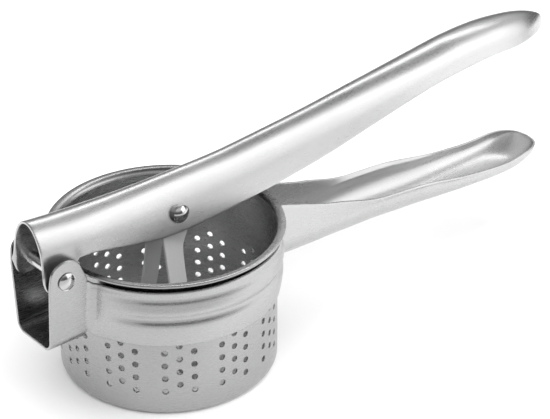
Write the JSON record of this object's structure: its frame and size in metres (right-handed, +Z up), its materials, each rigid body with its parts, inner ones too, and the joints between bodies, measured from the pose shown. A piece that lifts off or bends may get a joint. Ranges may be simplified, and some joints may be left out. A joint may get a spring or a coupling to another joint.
{
  "type": "potato ricer",
  "caption": "Stainless lever press: a perforated cup held in a ring, a disc plunger hinged under an arched lever, and a welded trough handle",
  "frame": {"origin": "centre of the basket's underside, on the basket's axis", "axes": "+X runs from the pivot bracket to the handles' tips, +Z is up along the basket's axis, +Y completes the right-handed frame"},
  "size_m": [0.2536, 0.088, 0.0911],
  "materials": {
    "basket_steel": "satin brushed stainless sheet",
    "band_steel": "satin brushed stainless sheet",
    "handle_steel": "fine satin stainless sheet, polished crown",
    "rivet_steel": "polished rivet heads",
    "plunger_steel": "plain stainless sheet"
  },
  "bodies": {
    "frame": {"frame_band": "band_steel", "lower_handle": "handle_steel", "pivot_rivet": "rivet_steel"},
    "cup": {"basket": "basket_steel"},
    "lever": {"upper_handle": "handle_steel", "plunger_pin": "rivet_steel"},
    "plunger": {"plunger_stem": "plunger_steel", "plunger_disc": "plunger_steel"}
  },
  "joints": [
    {"name": "basket_turn", "type": "hinge", "parent": "frame", "child": "cup", "pos_m": [0, 0, 0], "axis": [0, 0, 1], "continuous": true},
    {"name": "lever_hinge", "type": "hinge", "parent": "frame", "child": "lever", "pos_m": [-0.052, 0, 0.0584], "axis": [0, -1, 0], "range_deg": [0, 70]},
    {"name": "plunger_hinge", "type": "hinge", "parent": "lever", "child": "plunger", "pos_m": [0, 0, 0.0648], "axis": [0, -1, 0], "range_deg": [-36.5, 0]}
  ],
  "couplings": [
    {"joint": "plunger_hinge", "follows": "lever_hinge", "ratio": -0.52}
  ]
}
